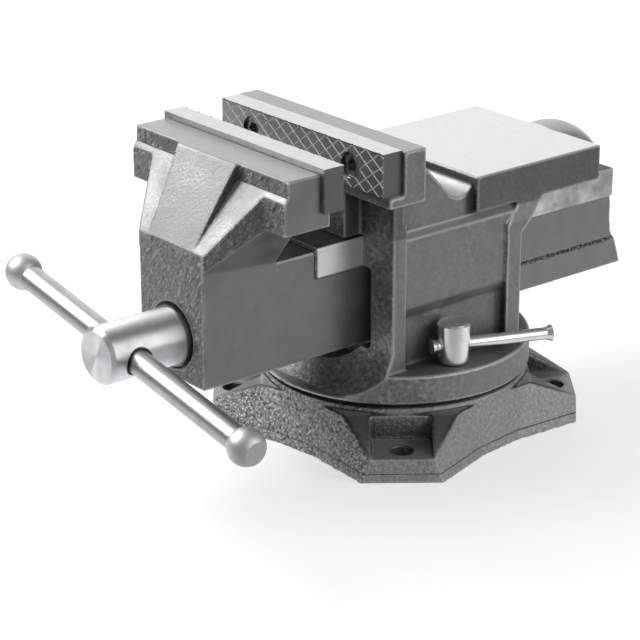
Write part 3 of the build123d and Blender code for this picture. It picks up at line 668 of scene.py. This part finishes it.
def threaded_screw():
    """The screw with a helix whose form has four points to a turn, flat at both ends."""
    mesh = bmesh.new()
    mesh.from_mesh(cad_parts["main_screw"].data)
    bmesh.ops.remove_doubles(mesh, verts=mesh.verts, dist=WELD)
    everything = list(mesh.verts) + list(mesh.edges) + list(mesh.faces)
    start = Vector((0, THREAD_FROM - 0.05 * MM, 0))
    cut = bmesh.ops.bisect_plane(mesh, geom=everything, plane_co=start, plane_no=(0, 1, 0), clear_outer=True)
    rim = [e for e in cut["geom_cut"] if isinstance(e, bmesh.types.BMEdge)]
    bmesh.ops.contextual_create(mesh, geom=rim)
    turns = math.ceil((THREAD_TO - THREAD_FROM) / PITCH) + 1
    rows = []
    for turn in range(-1, turns):
        for share, radius in THREAD_FORM:
            row = []
            for step in range(THREAD_STEPS + 1):
                y = THREAD_FROM + PITCH * (turn + share + step / THREAD_STEPS)
                y = min(max(y, THREAD_FROM), THREAD_TO)
                row.append(mesh.verts.new(round_screw(radius, step, y)))
            rows.append(row)
    for lower, upper in zip(rows, rows[1:]):
        for step in range(THREAD_STEPS):
            mesh.faces.new((lower[step], upper[step], upper[step + 1], lower[step + 1]))
    for y in (THREAD_FROM, THREAD_TO):
        ring = [mesh.verts.new(round_screw(CREST, step, y)) for step in range(THREAD_STEPS)]
        mesh.faces.new(ring if y == THREAD_FROM else ring[::-1])
    bmesh.ops.remove_doubles(mesh, verts=mesh.verts, dist=WELD)
    for face in mesh.faces:
        face.smooth = True
    data = data_of(mesh, "screw_threaded")
    turned(data)
    return new_piece("screw_threaded", data, [screw_steel], "screw", "main_screw")


threaded_screw()


# CAD nodes that keep their shape take a finish

FINISHES = {
    "lock_plate": slide_steel, "fixed_jaw_screws": screw_black, "moving_jaw_screws": screw_black,
    "thrust_washer": shaded_washer_steel, "spring_washer": slide_steel, "split_pin": slide_steel,
    "take_up_spring": screw_black, "main_nut": nut_metal, "nut_bolt": screw_black, "nut_dowel": slide_steel,
    "handle_bar": handle_steel, "handle_ball_right": satin_steel, "handle_ball_left": satin_steel,
    "lock_bolt_right": bright_steel, "lock_bolt_left": bright_steel, "lock_bar_right": bright_steel,
    "lock_bar_left": bright_steel,
}
for node, material in FINISHES.items():
    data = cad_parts[node].data
    data.materials.clear()
    data.materials.append(material)


# Stage: a pale floor, soft lamps, a studio surround, and the camera at the photograph's place

FLOOR_SIDE = 3.0
FLOOR_GLOW = 0.62
# Metres from the middle, and towards the photograph's place, over which metal sees the floor darken
FAR_DIM = (0.17, 0.47)
NEAR_DIM = (0.06, 0.2)
TOWARDS_CAMERA = (0.77, -0.63, 0)
ROOM = 0.3
SOFT_SKY = 0.08
# Each patch of the surround: its direction, the degrees at which it is full and ends, and its level
SKY_PATCHES = [
    ((0.88, 0.3, 0.3), 32, 42, 1.5),
    ((-0.65, -0.75, 0.05), 14, 30, 0.12),
    ((0.05, 0.6, 0.8), 8, 15, 0.03),
]


def make_floor():
    """A wide white floor under the base; metal sees it darker far off and towards the camera."""
    side = FLOOR_SIDE
    corners = [(-side, -side, 0), (side, -side, 0), (side, side, 0), (-side, side, 0)]
    data = bpy.data.meshes.new("floor")
    data.from_pydata(corners, [], [(0, 1, 2, 3)])
    floor = bpy.data.objects.new("floor", data)
    bpy.context.scene.collection.objects.link(floor)
    looks = Looks("floor_white")
    patches = looks.noise(0.4, 2.0, 0.5)
    path = looks.add("ShaderNodeLightPath").outputs
    seen = looks.math("MAXIMUM", path["Is Camera Ray"], path["Is Glossy Ray"])
    far = looks.between(looks.vector("LENGTH", looks.place), *FAR_DIM)
    near = looks.between(looks.vector("DOT_PRODUCT", looks.place, TOWARDS_CAMERA), *NEAR_DIM)
    dim = looks.math("MAXIMUM", far, near)
    bright = looks.math("SUBTRACT", seen, looks.times(path["Is Glossy Ray"], dim, 0.85))
    glow = {"Emission Color": grey(1.0), "Emission Strength": looks.times(bright, FLOOR_GLOW)}
    white = looks.blend(bright, looks.blend(patches, grey(0.3), grey(0.34)), grey(0.5))
    data.materials.append(looks.finish(white, 0.7, looks.bump(patches, 0.0), **glow))


def lamp(name, way, distance, size, power, mirrored=True):
    """A square soft lamp that looks at the vise from a direction; metal may be kept from mirroring it."""
    data = bpy.data.lights.new(name, "AREA")
    data.size = size
    data.energy = power
    obj = bpy.data.objects.new(name, data)
    bpy.context.scene.collection.objects.link(obj)
    middle = Vector((0, -0.01, 0.07))
    obj.visible_glossy = mirrored
    obj.location = middle + Vector(way).normalized() * distance
    obj.rotation_euler = (middle - obj.location).to_track_quat("-Z", "Y").to_euler()


def sky():
    """An even studio surround; metal sees it as a room with a bright patch and darker gaps."""
    world = bpy.data.worlds.new("studio")
    bpy.context.scene.world = world
    world.use_nodes = True
    nodes = Nodes(world.node_tree)
    way = nodes.add("ShaderNodeTexCoord").outputs["Generated"]
    room = ROOM
    for spot, inner, outer, level in SKY_PATCHES:
        near = nodes.vector("DOT_PRODUCT", way, Vector(spot).normalized())
        edge, full = math.cos(math.radians(outer)), math.cos(math.radians(inner))
        room = nodes.mix(nodes.between(near, edge, full), room, level)
    path = nodes.add("ShaderNodeLightPath").outputs
    seen = nodes.math("MAXIMUM", path["Is Camera Ray"], path["Is Glossy Ray"])
    background = world.node_tree.nodes["Background"].inputs
    nodes.feed(background["Strength"], nodes.mix(seen, SOFT_SKY, room))
    nodes.feed(background["Color"], (1, 1, 1, 1))


def camera():
    """The photograph's view: fitted to the vise's edges, 141 mm on a 36 mm sensor."""
    data = bpy.data.cameras.new("camera")
    data.lens = 141.33
    data.sensor_width = 36.0
    obj = bpy.data.objects.new("camera", data)
    bpy.context.scene.collection.objects.link(obj)
    aim = Vector((-0.0104, -0.0313, 0.0444))
    obj.location = Vector((0.7319, -0.6416, 0.4166))
    obj.rotation_euler = (aim - obj.location).to_track_quat("-Z", "Y").to_euler()
    bpy.context.scene.camera = obj


make_floor()
lamp("overhead", (-0.4, -0.3, 0.86), 1.5, 1.2, 2)
lamp("back_left", (-0.72, 0.59, 0.45), 1.2, 1.4, 5.7)
lamp("front_left", (-0.59, -0.49, 0.64), 1.2, 0.8, 12)
lamp("right_back", (0.79, 0.45, 0.42), 1.3, 0.4, 6, mirrored=False)
sky()
camera()
bpy.context.scene.view_settings.view_transform = "Standard"
